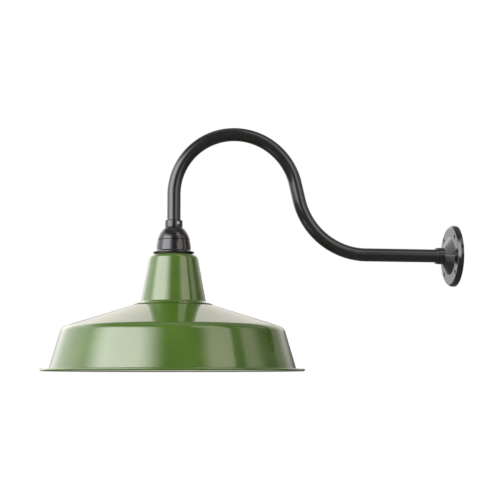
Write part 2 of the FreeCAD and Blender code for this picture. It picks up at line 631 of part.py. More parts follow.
def make_gallery():
    """Lower half of the cap: bulged wall, flared brim, inner web and a threaded spigot for the shade."""
    body = lamp_piece("shade_gallery", BRIM_LEVEL)
    bore, thread = "(gallery_bore / 2)", "(cap_thread / 2)"
    ledge = "(gallery_height - cap_thread_length)"
    web_top = "(web_height + web_thick)"
    tip = turn_profile(body, [
        (bore, "0 - spigot_length"), ("spigot_dia / 2", "0 - spigot_length"), ("spigot_dia / 2", "0"),
        ("brim_dia / 2", "0"), ("brim_dia / 2", "brim_thick"),
        ("gallery_dia / 2 + brim_round", "brim_thick", "brim_round", "right"),
        ("gallery_dia / 2", "brim_thick + brim_round"), ("gallery_dia / 2", "gallery_upright", "gallery_round", "left"),
        ("seam_dia / 2", "gallery_height"), (thread, "gallery_height"), (thread, ledge), (bore, ledge),
        (bore, web_top), ("web_hole / 2", web_top), ("web_hole / 2", "web_height"), (bore, "web_height")])
    tip = soften(body, "Chamfer", tip, ring_edges(tip, "seam_dia", "gallery_height"), "seam_groove")
    soften(body, "Fillet", tip, ring_edges(tip, "brim_dia", "brim_thick"), "brim_thick / 2.5")
    screw_hole = sketch_on(body, "XY_Plane", "ScrewHole", "web_height")
    draw_circle(screw_hole, "holder_screw", *HOLDER_SCREW_SPOT)
    around(body, [pocket(body, screw_hole, up=True)], "holder_screws", "ScrewHolesAround")
    post = draw_circle(sketch_on(body, "XY_Plane", "Post", web_top), "earth_post_dia", "0", "earth_post_offset")
    pad(body, post, "earth_post_rise")
    tap = sketch_on(body, "XY_Plane", "Tap", f"{web_top} + earth_post_rise")
    pocket(body, draw_circle(tap, "earth_shank", "0", "earth_post_offset"), "earth_grip")
    return body


def make_shade_clamp():
    """Gasket under the brim, the ring nut that holds the shade, and the ring nut inside the bell cap."""
    gasket = lamp_piece("shade_gasket", NECK_LEVEL)
    washer(gasket, "spigot_dia", "gasket_dia", "0", "gasket_thick")
    clamp = lamp_piece("shade_ring", f"{NECK_LEVEL} - sheet_thick")
    tip = washer(clamp, "spigot_dia", "clamp_ring_dia", "0 - clamp_ring_thick", "0")
    soften(clamp, "Chamfer", tip, ring_edges(tip, "clamp_ring_dia", "0 - clamp_ring_thick"), "clamp_ring_thick / 6")
    notches = sketch_on(clamp, "XY_Plane", "Notch", "0 - clamp_ring_thick")
    draw(notches, rectangle("clamp_ring_thick", "clamp_ring_thick", "clamp_ring_dia / 2"))
    around(clamp, [pocket(clamp, notches, "clamp_ring_thick / 2", up=True)], "ring_notches", "NotchesAround")
    nut = lamp_piece("cap_locknut", NUT_LEVEL)
    washer(nut, "tube_dia", "nut_dia", "0 - nut_thick", "0")
    return [gasket, clamp, nut]


# ------------------------------------------------------------------------------------------ lampholder

SHELL_BORE = "(lamp_cap_dia / 2 + slide_gap)"
SHELL_OUTSIDE = f"({SHELL_BORE} + shell_wall)"


def make_lampholder():
    """Porcelain lampholder: raised wiring top, contact chamber, bore for the screw shell and a wide mouth."""
    body = lamp_piece("lampholder_body", HOLDER_LEVEL)
    stem = "(contact_stem / 2 + slide_gap)"
    stem_top = "(contact_thick + contact_stem_length + slide_gap - contact_depth)"
    mouth_roof = "(mouth_depth - holder_length)"
    tip = turn_profile(body, [
        ("0", stem_top), (stem, stem_top), (stem, "0 - chamber_depth"), (SHELL_OUTSIDE, "0 - chamber_depth"),
        (SHELL_OUTSIDE, mouth_roof), ("holder_mouth / 2", mouth_roof), ("holder_mouth / 2", "0 - holder_length"),
        ("holder_dia / 2", "0 - holder_length"), ("holder_dia / 2", "0"), ("holder_neck / 2", "0"),
        ("holder_neck / 2", "holder_rise"), ("0", "holder_rise")])
    soften(body, "Fillet", tip, ring_edges(tip, "holder_dia", "0 - holder_length"), "holder_round")
    hole = draw_circle(sketch_on(body, "XY_Plane", "ScrewHole"), "holder_screw", *HOLDER_SCREW_SPOT)
    around(body, [pocket(body, hole, "holder_screw_grip")], "holder_screws", "ScrewHolesAround")
    return body


def make_holder_screws():
    """Screws through the gallery's web into the porcelain."""
    body = lamp_piece("holder_screws", WEB_TOP_LEVEL)
    outline = draw_circle(sketch_on(body, "XY_Plane", "Head"), "holder_screw_head", *HOLDER_SCREW_SPOT)
    head = pad(body, outline, "holder_screw_rise")
    outline = draw_circle(sketch_on(body, "XY_Plane", "Shank"), "holder_screw", *HOLDER_SCREW_SPOT)
    shank = pad(body, outline, "web_thick + holder_screw_grip", down=True)
    around(body, [head, shank], "holder_screws")
    return body


def make_holder_terminals():
    """Two brass terminals on the lampholder and the screws in their outer sides."""
    blocks = lamp_piece("holder_terminals", TERMINAL_LEVEL)
    outline = rectangle("terminal_width", "terminal_depth", "wire_pitch")
    block = pad(blocks, draw(sketch_on(blocks, "XY_Plane", "Outline"), outline), "terminal_height")
    side = "wire_pitch + terminal_width / 2"
    tap = sketch_on(blocks, "YZ_Plane", "Tap", side)
    tapped = pocket(blocks, draw_circle(tap, "terminal_shank", "0", "terminal_height / 2"), "terminal_grip")
    around(blocks, [block, tapped], "terminal_count")
    screws = lamp_piece("holder_terminal_screws", TERMINAL_LEVEL)
    outline = sketch_on(screws, "YZ_Plane", "Head", side)
    head = pad(screws, draw_circle(outline, "terminal_screw", "0", "terminal_height / 2"), "terminal_screw_rise")
    outline = sketch_on(screws, "YZ_Plane", "Shank", side)
    draw_circle(outline, "terminal_shank", "0", "terminal_height / 2")
    shank = pad(screws, outline, "terminal_grip", down=True)
    around(screws, [head, shank], "terminal_count")
    return [blocks, screws]


def make_screw_shell():
    """Brass shell that the lamp's cap screws into."""
    body = lamp_piece("screw_shell", HOLDER_LEVEL)
    top = "(0 - chamber_depth)"
    turn_profile(body, [("shell_hole / 2", top), (SHELL_OUTSIDE, top), (SHELL_OUTSIDE, f"{top} - shell_length"),
                        (SHELL_BORE, f"{top} - shell_length"), (SHELL_BORE, f"{top} - shell_wall"),
                        ("shell_hole / 2", f"{top} - shell_wall")])
    return body


def make_centre_contact():
    """Sprung contact: a flat head on the lamp's tip and a stem that slides in the porcelain."""
    body = lamp_piece("centre_contact", TIP_LEVEL)
    stem_top = "contact_thick + contact_stem_length"
    turn_profile(body, [("0", "0"), ("contact_dia / 2", "0"), ("contact_dia / 2", "contact_thick"),
                        ("contact_stem / 2", "contact_thick"), ("contact_stem / 2", stem_top), ("0", stem_top)])
    return body


# ----------------------------------------------------------------------------------------------- shade

NECK_FOOT = "(neck_top_dia / 2 + neck_height * tan(neck_rake))"
FOOT_LEVEL = f"({NECK_LEVEL} - neck_height)"
NECK_WALL, SHOULDER, SKIRT = "(neck_rake - 90)", "(0 - shoulder_fall)", "(skirt_rake - 90)"


def inset(corner, before, after):
    """The inner side of a sheet's corner, where the sheet turns from one direction to the next."""
    mean, spread = f"(({before} + {after}) / 2)", f"cos(({before} - {after}) / 2)"
    return (f"{corner[0]} + sheet_thick * sin{mean} / {spread}", f"{corner[1]} - sheet_thick * cos{mean} / {spread}")


def make_shade_neck():
    """Upper pressing: flat top, tapered wall and a flange at its foot that lies on the dish."""
    body = lamp_piece("shade_neck", NECK_LEVEL)
    corner = ("neck_top_dia / 2", "0")
    foot = (NECK_FOOT, "0 - neck_height")
    tip_top = (f"{NECK_FOOT} + neck_flange * cos(shoulder_fall)", "0 - neck_height - neck_flange * sin(shoulder_fall)")
    tip_low = (f"{tip_top[0]} - sheet_thick * sin(shoulder_fall)", f"{tip_top[1]} - sheet_thick * cos(shoulder_fall)")
    inner_corner, inner_foot = inset(corner, "0", NECK_WALL), inset(foot, NECK_WALL, SHOULDER)
    hole = "(spigot_dia / 2 + slide_gap)"
    tip = turn_profile(body, [(hole, "0"), corner, foot, tip_top, tip_low, inner_foot, inner_corner,
                              (hole, "0 - sheet_thick")])
    for spot, radius in ((corner, "neck_round"), (inner_corner, "neck_round - sheet_thick"),
                         (foot, "neck_foot_round"), (tip_top, "sheet_thick / 2.5")):
        tip = soften(body, "Fillet", tip, ring_edges(tip, f"2 * ({spot[0]})", spot[1]), radius)
    return body


def make_shade_dish():
    """Lower pressing: lap inside the neck, sloping shoulder, flared skirt, level lip and rolled rim."""
    body = lamp_piece("shade_dish", FOOT_LEVEL)
    root = inset((NECK_FOOT, "0"), NECK_WALL, SHOULDER)
    lap_top = (f"{root[0]} - lap_height * sin(neck_rake)", f"{root[1]} + lap_height * cos(neck_rake)")
    skirt_foot = "(rim_dia / 2 - lip_width)"
    bend_radius = f"({skirt_foot} - skirt_height * tan(skirt_rake))"
    bend = (bend_radius, f"({root[1]} - ({bend_radius} - ({root[0]})) * tan(shoulder_fall))")
    lip = f"({bend[1]} - skirt_height)"
    foot = (skirt_foot, lip)
    bead = "(rim_dia / 2 - bead_radius - sqrt(bead_radius ^ 2 - (sheet_thick / 2) ^ 2))"
    inner_root, inner_bend = inset(root, NECK_WALL, SHOULDER), inset(bend, SHOULDER, SKIRT)
    inner_foot = inset(foot, SKIRT, "0")
    inner_lap = (f"{lap_top[0]} + sheet_thick * sin{NECK_WALL}", f"{lap_top[1]} - sheet_thick * cos{NECK_WALL}")
    tip = turn_profile(body, [
        lap_top, root, bend, foot, (bead, lip, "bead_radius", "right"),
        ("rim_dia / 2", f"{lip} - sheet_thick / 2", "bead_radius", "right"), (bead, f"{lip} - sheet_thick"),
        inner_foot, inner_bend, inner_root, inner_lap])
    for corner, radius in ((bend, "shoulder_round"), (inner_bend, "shoulder_round - sheet_thick"),
                           (foot, "lip_round"), (inner_foot, "lip_round + sheet_thick")):
        tip = soften(body, "Fillet", tip, ring_edges(tip, f"2 * ({corner[0]})", corner[1]), radius)
    return body


# ------------------------------------------------------------------------------------------------ lamp

def make_lamp():
    """Screw lamp: tip, insulator, cap and pearl glass, each on the lamp's own axis from its tip down."""
    shoulder = "(lamp_cap_dia / 2 - lamp_tip_thick)"
    cap_top, lower = "(0 - lamp_cap_top)", "(0 - lamp_cap_top - lamp_tip_thick)"
    tip = lamp_piece("lamp_tip", TIP_LEVEL)
    turn_profile(tip, [("0", "0 - lamp_tip_thick"), ("lamp_tip_dia / 2", "0 - lamp_tip_thick"),
                       ("lamp_tip_dia / 2", "0"), ("0", "0")])
    insulator = lamp_piece("lamp_insulator", TIP_LEVEL)
    turn_profile(insulator, [("0", lower), (shoulder, lower), (shoulder, cap_top),
                             ("lamp_tip_dia / 2 + slide_gap", "0 - lamp_tip_thick"), ("0", "0 - lamp_tip_thick")])
    cap = lamp_piece("lamp_screw_cap", TIP_LEVEL)
    turn_profile(cap, [("glass_neck / 2", "0 - lamp_cap_bottom"), ("lamp_cap_dia / 2", "0 - lamp_cap_bottom"),
                       ("lamp_cap_dia / 2", lower), (shoulder, cap_top), (shoulder, lower),
                       ("glass_neck / 2", lower)])
    glass = lamp_piece("lamp_glass", TIP_LEVEL)
    globe, neck = "(globe_dia / 2)", "(glass_neck / 2)"
    centre = f"({globe} - lamp_length)"
    spread = f"sqrt(({globe} + glass_sweep) ^ 2 - ({neck} + glass_sweep) ^ 2)"
    reach = f"(({neck} + glass_sweep) / ({globe} + glass_sweep))"
    rise = f"({spread} / ({globe} + glass_sweep))"
    thin = f"({globe} - glass_wall)"
    start, sweep_top = "glass_overlap - lamp_cap_bottom", f"{centre} + {spread}"
    turn_profile(glass, [
        (neck, start), (neck, sweep_top, "glass_sweep", "left"),
        (f"{globe} * {reach}", f"{centre} + {globe} * {rise}", globe, "right"), ("0", "0 - lamp_length"),
        ("0", "glass_wall - lamp_length", thin, "left"),
        (f"{thin} * {reach}", f"{centre} + {thin} * {rise}", "glass_sweep + glass_wall", "right"),
        (f"{neck} - glass_wall", sweep_top), (f"{neck} - glass_wall", start)])
    return [tip, insulator, cap, glass]


# ------------------------------------------------------------------------------------------------ make

def make_all():
    """Every sub-part of the lamp."""
    wall_lug = piece("plate_earth_lug", up="earth_offset", turn=LUG_ON_WALL, out="wire_level")
    cap_lug = piece("cap_earth_lug", up=LUG_LEVEL, turn=LUG_UPRIGHT, out="(arm_reach - earth_post_offset)")
    cap_screw = piece("cap_earth_screw", up=f"{LUG_LEVEL} + lug_thick / 2", out="(arm_reach - earth_post_offset)")
    screw(cap_screw, "earth_shank", "earth_head", "lug_thick + earth_grip", "earth_head_rise")
    return [make_wall_plate(), make_arm_lock_ring(), make_arm_tube(),
            make_bush(wall_piece("wall_end_bush", "tube_seat")),
            make_bush(lamp_piece("lamp_end_bush", TUBE_END_LEVEL)),
            *make_wires(), make_terminal_block(), *make_plate_screws(), make_earth_lug(wall_lug),
            make_earth_lug(cap_lug), cap_screw, make_cap_collar(), make_grub_screw(), make_bell_cap(),
            make_gallery(), *make_shade_clamp(), make_shade_neck(), make_shade_dish(), make_lampholder(),
            make_holder_screws(), *make_holder_terminals(), make_screw_shell(), make_centre_contact(), *make_lamp()]


def write_parts(bodies):
    """Checks every object and every sub-part, then writes one file for each sub-part."""
    DOC.recompute()
    faults = [item.Label for item in DOC.Objects if {"Invalid", "Error"} & set(item.State)]
    faults += [body.Label for body in bodies if body.Shape.isNull() or not body.Shape.isValid()]
    if faults:
        raise RuntimeError("Failed: " + ", ".join(faults))
    os.makedirs("parts", exist_ok=True)
    for body in bodies:
        body.Shape.exportStep(f"parts/{body.Label}.step")
        print(f"{body.Label}: {len(body.Shape.Solids)} solids, {body.Shape.Volume:.1f} cubic mm")


write_parts(make_all())
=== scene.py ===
"""A gooseneck wall sconce dressed for its portrait: a black painted arm and wall plate, a dark bell cap
and a green enamelled shade, under soft light from the left, a weaker one from the right and a pale
backdrop. Lengths are in metres."""
import math

import bmesh
import bpy
import numpy as np
from bpy.props import FloatProperty, FloatVectorProperty, PointerProperty, StringProperty
from mathutils import Matrix, Vector


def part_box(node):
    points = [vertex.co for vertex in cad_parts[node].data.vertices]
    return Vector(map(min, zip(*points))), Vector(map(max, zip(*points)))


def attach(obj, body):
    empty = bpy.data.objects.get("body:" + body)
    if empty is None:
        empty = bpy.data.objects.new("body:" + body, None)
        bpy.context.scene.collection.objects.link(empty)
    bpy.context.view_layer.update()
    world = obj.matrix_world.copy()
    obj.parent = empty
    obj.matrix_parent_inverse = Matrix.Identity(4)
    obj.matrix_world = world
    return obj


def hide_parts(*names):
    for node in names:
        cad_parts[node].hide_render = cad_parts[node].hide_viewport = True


bl_info = {
    "name": "Gooseneck Sconce",
    "version": (1, 0, 0),
    "blender": (4, 5, 0),
    "location": "View3D > Sidebar > Sconce",
    "description": "Dresses the gooseneck wall sconce: its surfaces, finishes and studio",
    "category": "Object",
}

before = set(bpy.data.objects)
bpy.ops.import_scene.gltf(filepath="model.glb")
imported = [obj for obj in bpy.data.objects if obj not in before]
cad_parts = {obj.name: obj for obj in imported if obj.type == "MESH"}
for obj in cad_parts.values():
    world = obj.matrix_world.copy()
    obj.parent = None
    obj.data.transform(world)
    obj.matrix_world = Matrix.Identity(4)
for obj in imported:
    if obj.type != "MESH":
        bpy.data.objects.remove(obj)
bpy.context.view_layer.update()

MM = 0.001
DEGREE = math.pi / 180

SHADE_SIDES = 288  # points round the shade
CAP_SIDES = 192  # points round the bell cap
TUBE_SIDES = 72  # points round the conduit
FLOOR_SIDES = 96  # points round the floor
SHADE_STEP = 3 * MM  # longest step along the shade's outline
TUBE_STEP = 3.5 * MM  # about the step along the conduit
SHARP = 32 * DEGREE  # an edge that turns more than this stays sharp
FLATTENING_RUN = 1 / 8  # share of a bend over which its flattening grows, at each end
SENSOR_WIDTH = 36  # millimetres


# ---------------------------------------------------------------------- places in the frame

# Levels are heights in the frame. The wall is the plane y = 0, and the arm stands out of it towards -y.
DISH_LOW, DISH_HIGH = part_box("shade_dish")
LAMP_Y = (DISH_LOW[1] + DISH_HIGH[1]) / 2
RIM_RADIUS = (DISH_HIGH[0] - DISH_LOW[0]) / 2
NECK_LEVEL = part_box("shade_neck")[1][2]
SEAM_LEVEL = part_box("shade_gallery")[1][2]
BELL_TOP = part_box("bell_cap")[1][2]
TUBE_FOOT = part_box("arm_tube")[0][2]
TUBE_SEAT = -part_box("arm_tube")[1][1]  # from the wall to the conduit's end in the plate


# ---------------------------------------------------------------------- sizes and colours

def size(name, note, value):
    """A length that a user may change, in metres."""
    return FloatProperty(name=name, description=note, default=value, unit="LENGTH", precision=5)


def slope(name, note, degrees):
    """An angle that a user may change."""
    return FloatProperty(name=name, description=note, default=degrees * DEGREE, unit="ROTATION")


def number(name, note, value):
    """A plain number that a user may change."""
    return FloatProperty(name=name, description=note, default=value)


def paint(name, note, code):
    """A colour that a user may change, given as an sRGB hex value."""
    return StringProperty(name=name, description=note, default=code)


class SconceShadeSizes(bpy.types.PropertyGroup):
    """Sizes of the two pressings of the shade."""
    sheet: size("Sheet", "Thickness of the enamelled sheet", 1.2 * MM)
    hole: size("Neck hole", "Radius of the hole in the neck's flat top", 23.8 * MM)
    neck_top: size("Neck top", "Radius of the neck's flat top, before its corner is rounded", 35.1 * MM)
    neck_round: size("Neck corner", "Rounding of the neck's top corner", 7 * MM)
    neck_height: size("Neck height", "Neck from its flat top to its foot", 70 * MM)
    neck_rake: slope("Neck rake", "Slope of the neck's wall from upright", 10.4)
    foot_round: size("Foot rounding", "Rounding between the neck and its flange", 2.5 * MM)
    flange: size("Flange", "Width of the neck's flange, down the slope of the shoulder", 10 * MM)
    lap: size("Lap", "Part of the dish that stands up inside the neck", 12 * MM)
    fall: slope("Shoulder fall", "Slope of the shoulder from level", 17.6)
    skirt_height: size("Skirt height", "Shoulder's edge to the level lip", 61.5 * MM)
    skirt_rake: slope("Skirt rake", "Slope of the skirt from upright", 16.4)
    shoulder_round: size("Shoulder rounding", "Rounding between the shoulder and the skirt", 13 * MM)
    lip: size("Lip", "Level lip outside the skirt, to the rim's tip", 12.4 * MM)
    lip_round: size("Lip rounding", "Rounding between the skirt and the lip", 2.4 * MM)
    bead: size("Bead", "Radius of the rolled rim", 1.8 * MM)


class SconceArmSizes(bpy.types.PropertyGroup):
    """Sizes of the bent conduit."""
    radius: size("Radius", "Outside radius of the conduit", 10 * MM)
    wall: size("Wall", "Thickness of the conduit's wall", 1.5 * MM)
    upper_bend: size("Upper bend", "Centreline radius of the large bend over the lamp", 93 * MM)
    lower_bend: size("Lower bend", "Centreline radius of the bend that meets the level run", 106 * MM)
    steepness: slope("Steepness", "Slope of the straight between the bends from level", 77)
    slant: size("Slant", "Length of the straight between the bends", 25 * MM)
    flattening: number("Flattening", "Share by which a bend squeezes the conduit", 0.012)


class SconceCapSizes(bpy.types.PropertyGroup):
    """Sizes of the bell cap."""
    seam: size("Seam", "Radius at the seam between bell and gallery", 23.8 * MM)
    bell_round: size("Bell rounding", "Radius of the bell's outline", 30.3 * MM)
    bell_top: size("Bell top", "Radius of the bell's flat top", 13 * MM)
    bell_step: size("Bell step", "Height of the small step at the bell's top", 0.9 * MM)
    bore: size("Bore", "Radius of the hole for the conduit", 10 * MM)
    thread: size("Thread", "Radius of the thread that joins bell and gallery", 22 * MM)
    thread_length: size("Thread length", "Length of that thread", 6 * MM)
    wall: size("Wall", "Wall of the bell", 2.2 * MM)
    roof: size("Roof", "Thickness of the bell's top", 3.4 * MM)
    groove: size("Groove", "Depth of the seam's groove", 0.5 * MM)


class SconceColours(bpy.types.PropertyGroup):
    """Colours of the finishes, as sRGB hex values."""
    green: paint("Green enamel", "Outside of the shade", "#4f7020")
    white: paint("White enamel", "Inside of the shade", "#efede4")
    arm: paint("Arm paint", "Paint on the conduit", "#181818")
    plate: paint("Plate paint", "Paint on the wall plate", "#151515")
    cap: paint("Cap metal", "Black lacquer on the cap", "#151413")
    porcelain: paint("Porcelain", "Glazed lampholder", "#ece7dc")
    brass: paint("Brass", "Bare brass", "#c9a864")
    steel: paint("Steel", "Zinc plated steel", "#c3c5c8")
    pearl: paint("Pearl glass", "Frosted glass of the lamp", "#f4f1ea")


class SconceStudio(bpy.types.PropertyGroup):
    """Camera and light."""
    eye: FloatVectorProperty(name="Camera", description="Where the camera stands", subtype="XYZ",
                             unit="LENGTH", default=(1.8396, -0.6, -0.1901))
    yaw: slope("Yaw", "Turn of the camera from straight at the lamp's side", 8.729)
    pitch: slope("Pitch", "Rise of the camera's aim", 4.139)
    lens: number("Lens", "Focal length on a 36 mm wide sensor, in millimetres", 90)
    rise: number("Shift", "Upward shift of the frame, as a share of its width", 0.08)
    key: number("Left light", "Radiance of the large soft light", 4.4)
    key_wing: number("Left wing", "Radiance of the reflector beside it", 1.15)
    fill: number("Right light", "Radiance of the weaker light", 1.5)
    low_fill: number("Low right light", "Radiance of its lower, nearer part", 1.2)
    near_card: number("First card", "Radiance of the first card beside it", 0.75)
    far_card: number("Second card", "Radiance of the second card", 0.22)
    backdrop: number("Backdrop", "Radiance of the lit backdrop", 0.75)
    corners: number("Upper corners", "Radiance above and behind, to both sides", 0.15)
    ceiling: number("Ceiling", "Radiance straight above", 0.25)
    room: number("Room", "Radiance of the rest of the room", 0.16)
    key_tint: paint("Left tint", "Colour of the light from the left", "#fffdfb")
    fill_tint: paint("Right tint", "Colour of the light from the right", "#fff2e6")
    backdrop_tint: paint("Backdrop tint", "Colour of the backdrop's light", "#fff8ee")
    floor_drop: size("Floor", "Depth of the floor below the wall plate", 1.6)


# ---------------------------------------------------------------------- outlines

def rounded(corners, steps=8):
    """Points along straight sides whose inner corners are arcs. A corner is (radius, height, rounding).
    Its arc lies between the points rounding / tan(half the inner angle) along each side and is swept by
    the circular mean (sin((1 - t) turn) u + sin(t turn) w) / sin(turn) of the two spokes u and w."""
    spots = np.array([corner[:2] for corner in corners], float)
    share = np.linspace(0, 1, steps + 1)[:, None]
    parts = []
    for index, corner in enumerate(corners):
        here, rounding = spots[index], corner[2] if len(corner) > 2 else 0
        if rounding == 0 or index in (0, len(corners) - 1):
            parts.append(here[None])
            continue
        back, ahead = spots[index - 1] - here, spots[index + 1] - here
        back, ahead = back / np.linalg.norm(back), ahead / np.linalg.norm(ahead)
        half = math.acos(np.clip(back @ ahead, -1, 1)) / 2
        centre = here + (back + ahead) / np.linalg.norm(back + ahead) * rounding / math.sin(half)
        spoke = here + back * rounding / math.tan(half) - centre
        other = here + ahead * rounding / math.tan(half) - centre
        turn = math.pi - 2 * half
        swept = (np.sin((1 - share) * turn) * spoke + np.sin(share * turn) * other) / math.sin(turn)
        parts.append(centre + swept)
    return np.vstack(parts)


def arc(start, end, radius, steps=16):
    """Points from start to end on a circle whose centre lies to the left of the way, or to its right
    where the radius is negative: centre + radius (cos a, sin a) for evenly spaced angles a."""
    start, end = np.array(start, float), np.array(end, float)
    chord = end - start
    left = np.array([-chord[1], chord[0]]) / np.linalg.norm(chord) * math.copysign(1, radius)
    centre = (start + end) / 2 + left * math.sqrt(radius ** 2 - chord @ chord / 4)
    first, last = (math.atan2(*(spot - centre)[::-1]) for spot in (start, end))
    sweep = (last - first) % (2 * math.pi) if radius > 0 else -((first - last) % (2 * math.pi))
    angle = first + sweep * np.linspace(0, 1, steps + 1)
    return centre + abs(radius) * np.stack([np.cos(angle), np.sin(angle)], 1)


def finely(outline, longest):
    """The outline with every straight side divided so that no step is longer than a length."""
    steps = np.maximum(1, np.ceil(np.linalg.norm(np.diff(outline, axis=0), axis=1) / longest)).astype(int)
    divided = [index + np.arange(count) / count for index, count in enumerate(steps)]
    place = np.concatenate(divided + [[len(steps)]])
    return np.stack([np.interp(place, np.arange(len(outline)), column) for column in outline.T], 1)


def beside(outline, distance):
    """The outline moved sideways to its left by a distance, along the normals of its own direction."""
    direction = np.gradient(outline, axis=0)
    direction /= np.linalg.norm(direction, axis=1)[:, None]
    return outline + distance * np.stack([-direction[:, 1], direction[:, 0]], 1)


# ---------------------------------------------------------------------- surfaces

def turned(outline, sides):
    """A surface of revolution about the lamp's axis: (r cos a, r sin a, z) for each outline point (r, z)
    and angle a."""
    angle = np.linspace(0, 2 * math.pi, sides, endpoint=False)[None, :]
    radius, height = outline[:, :1], outline[:, 1:]
    level = np.broadcast_to(height, (len(outline), sides))
    return np.stack([radius * np.cos(angle), LAMP_Y + radius * np.sin(angle), level], 2)


def grid_faces(rows, columns, closed):
    """Quads between neighbouring points of a grid. Each row runs round, and a closed grid's last row
    meets its first."""
    row = np.arange(rows if closed else rows - 1)[:, None]
    column = np.arange(columns)[None, :]
    below, beyond = (row + 1) % rows, (column + 1) % columns
    corners = np.broadcast_arrays(row * columns + column, row * columns + beyond, below * columns + beyond,
                                  below * columns + column)
    return np.stack(corners, 2).reshape(-1, 4)


def make_mesh(name, grid, slots=None, closed=True):
    """One mesh from a grid of points. Doubled points at seams and poles are merged, and the faces then
    turned outwards. slots gives each row the number of its material."""
    rows, columns = grid.shape[:2]
    faces = grid_faces(rows, columns, closed)
    numbers = np.zeros(rows) if slots is None else slots
    mesh = bpy.data.meshes.new(name)
    mesh.vertices.add(rows * columns)
    mesh.vertices.foreach_set("co", grid.ravel())
    mesh.loops.add(faces.size)
    mesh.loops.foreach_set("vertex_index", faces.ravel().astype(np.int32))
    mesh.polygons.add(len(faces))
    mesh.polygons.foreach_set("loop_start", np.arange(0, faces.size, 4, dtype=np.int32))
    mesh.polygons.foreach_set("material_index", np.repeat(numbers, columns)[:len(faces)].astype(np.int32))
    mesh.update(calc_edges=True)
    work = bmesh.new()
    work.from_mesh(mesh)
    bmesh.ops.remove_doubles(work, verts=work.verts, dist=1e-6)
    bmesh.ops.dissolve_degenerate(work, edges=work.edges, dist=1e-7)
    bmesh.ops.recalc_face_normals(work, faces=work.faces)
    work.to_mesh(mesh)
    work.free()
    mesh.shade_smooth()
    mesh.set_sharp_from_angle(angle=SHARP)
    return mesh


def add_piece(name, mesh, body, node, *slots):
    """Puts a mesh into the scene as a piece of a body, in place of one of its solids. Its faces take the
    finishes of the slots, and the first of them is the piece's own."""
    piece = bpy.data.objects.new(name, mesh)
    bpy.context.scene.collection.objects.link(piece)
    for slot in slots:
        mesh.materials.append(finish_of(slot))
    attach(piece, body)
    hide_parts(node)


# ---------------------------------------------------------------------- finishes

def linear(code):
    """An sRGB hex value as linear light: c / 12.92 up to 0.04045 and ((c + 0.055) / 1.055) ** 2.4 above."""
    values = [int(code[place:place + 2], 16) / 255 for place in (1, 3, 5)]
    return tuple(c / 12.92 if c <= 0.04045 else ((c + 0.055) / 1.055) ** 2.4 for c in values) + (1.0,)


def add_node(tree, kind, inputs=None, **settings):
    """Adds a node, sets its properties and sets each input to a value or links it to a socket."""
    node = tree.nodes.new("ShaderNode" + kind)
    for name, value in settings.items():
        setattr(node, name, value)
    for name, value in (inputs or {}).items():
        if isinstance(value, bpy.types.NodeSocket):
            tree.links.new(value, node.inputs[name])
        else:
            node.inputs[name].default_value = value
    return node


def start_material(name, **values):
    """A material with one shader, whose uniform values are set on its own sockets, named with _ for a
    space."""
    material = bpy.data.materials.new(name)
    material.use_nodes = True
    tree = material.node_tree
    tree.nodes.clear()
    sockets = {key.replace("_", " "): value for key, value in values.items()}
    shader = add_node(tree, "BsdfPrincipled", sockets)
    output = add_node(tree, "OutputMaterial", {"Surface": shader.outputs["BSDF"]})
    output.location = (300, 0)
    return material, tree, shader


def place_of(tree, scale=(1, 1, 1), centre=(0, 0, 0)):
    """Object coordinates in metres, measured from a centre and stretched."""
    where = add_node(tree, "TexCoord").outputs["Object"]
    moved = add_node(tree, "VectorMath", {0: where, 1: centre}, operation="SUBTRACT")
    return add_node(tree, "VectorMath", {0: moved.outputs[0], 1: scale}, operation="MULTIPLY").outputs[0]


def noise(tree, vector, grain, detail=2.0):
    """Noise whose lumps are about a grain's length across."""
    values = {"Vector": vector, "Scale": 1 / grain, "Detail": detail}
    return add_node(tree, "TexNoise", values).outputs["Fac"]


def ramp(tree, value, low, high, to_low=0.0, to_high=1.0):
    """A value carried from one range to another."""
    values = {"Value": value, "From Min": low, "From Max": high, "To Min": to_low, "To Max": to_high}
    return add_node(tree, "MapRange", values).outputs["Result"]


def blend(tree, share, first, second):
    """Two colours mixed by a share. Sockets 6 and 7 and output 2 are the node's colour ones."""
    return add_node(tree, "Mix", {0: share, 6: first, 7: second}, data_type="RGBA").outputs[2]


def relief(tree, height, depth, below=None):
    """A bump whose full height is a depth in metres, laid over another."""
    values = {"Height": height, "Distance": depth, "Strength": 1.0}
    if below is not None:
        values["Normal"] = below
    return add_node(tree, "Bump", values).outputs["Normal"]


def split(tree, vector):
    """The three parts of a vector."""
    return add_node(tree, "SeparateXYZ", {"Vector": vector}).outputs[:3]


def spun(tree, pitch):
    """Rings as a spinning tool leaves them: noise of (distance from the lamp's axis, height) alone, so
    that it runs level round the piece, with lines about a pitch apart."""
    x, y, z = split(tree, place_of(tree, centre=(0, LAMP_Y, 0)))
    squares = add_node(tree, "Math", {0: x, 1: x}, operation="MULTIPLY").outputs[0]
    squares = add_node(tree, "Math", {0: y, 1: y, 2: squares}, operation="MULTIPLY_ADD").outputs[0]
    radius = add_node(tree, "Math", {0: squares}, operation="SQRT").outputs[0]
    place = add_node(tree, "CombineXYZ", {"X": radius, "Y": z}).outputs[0]
    return noise(tree, place, pitch, detail=1.0)


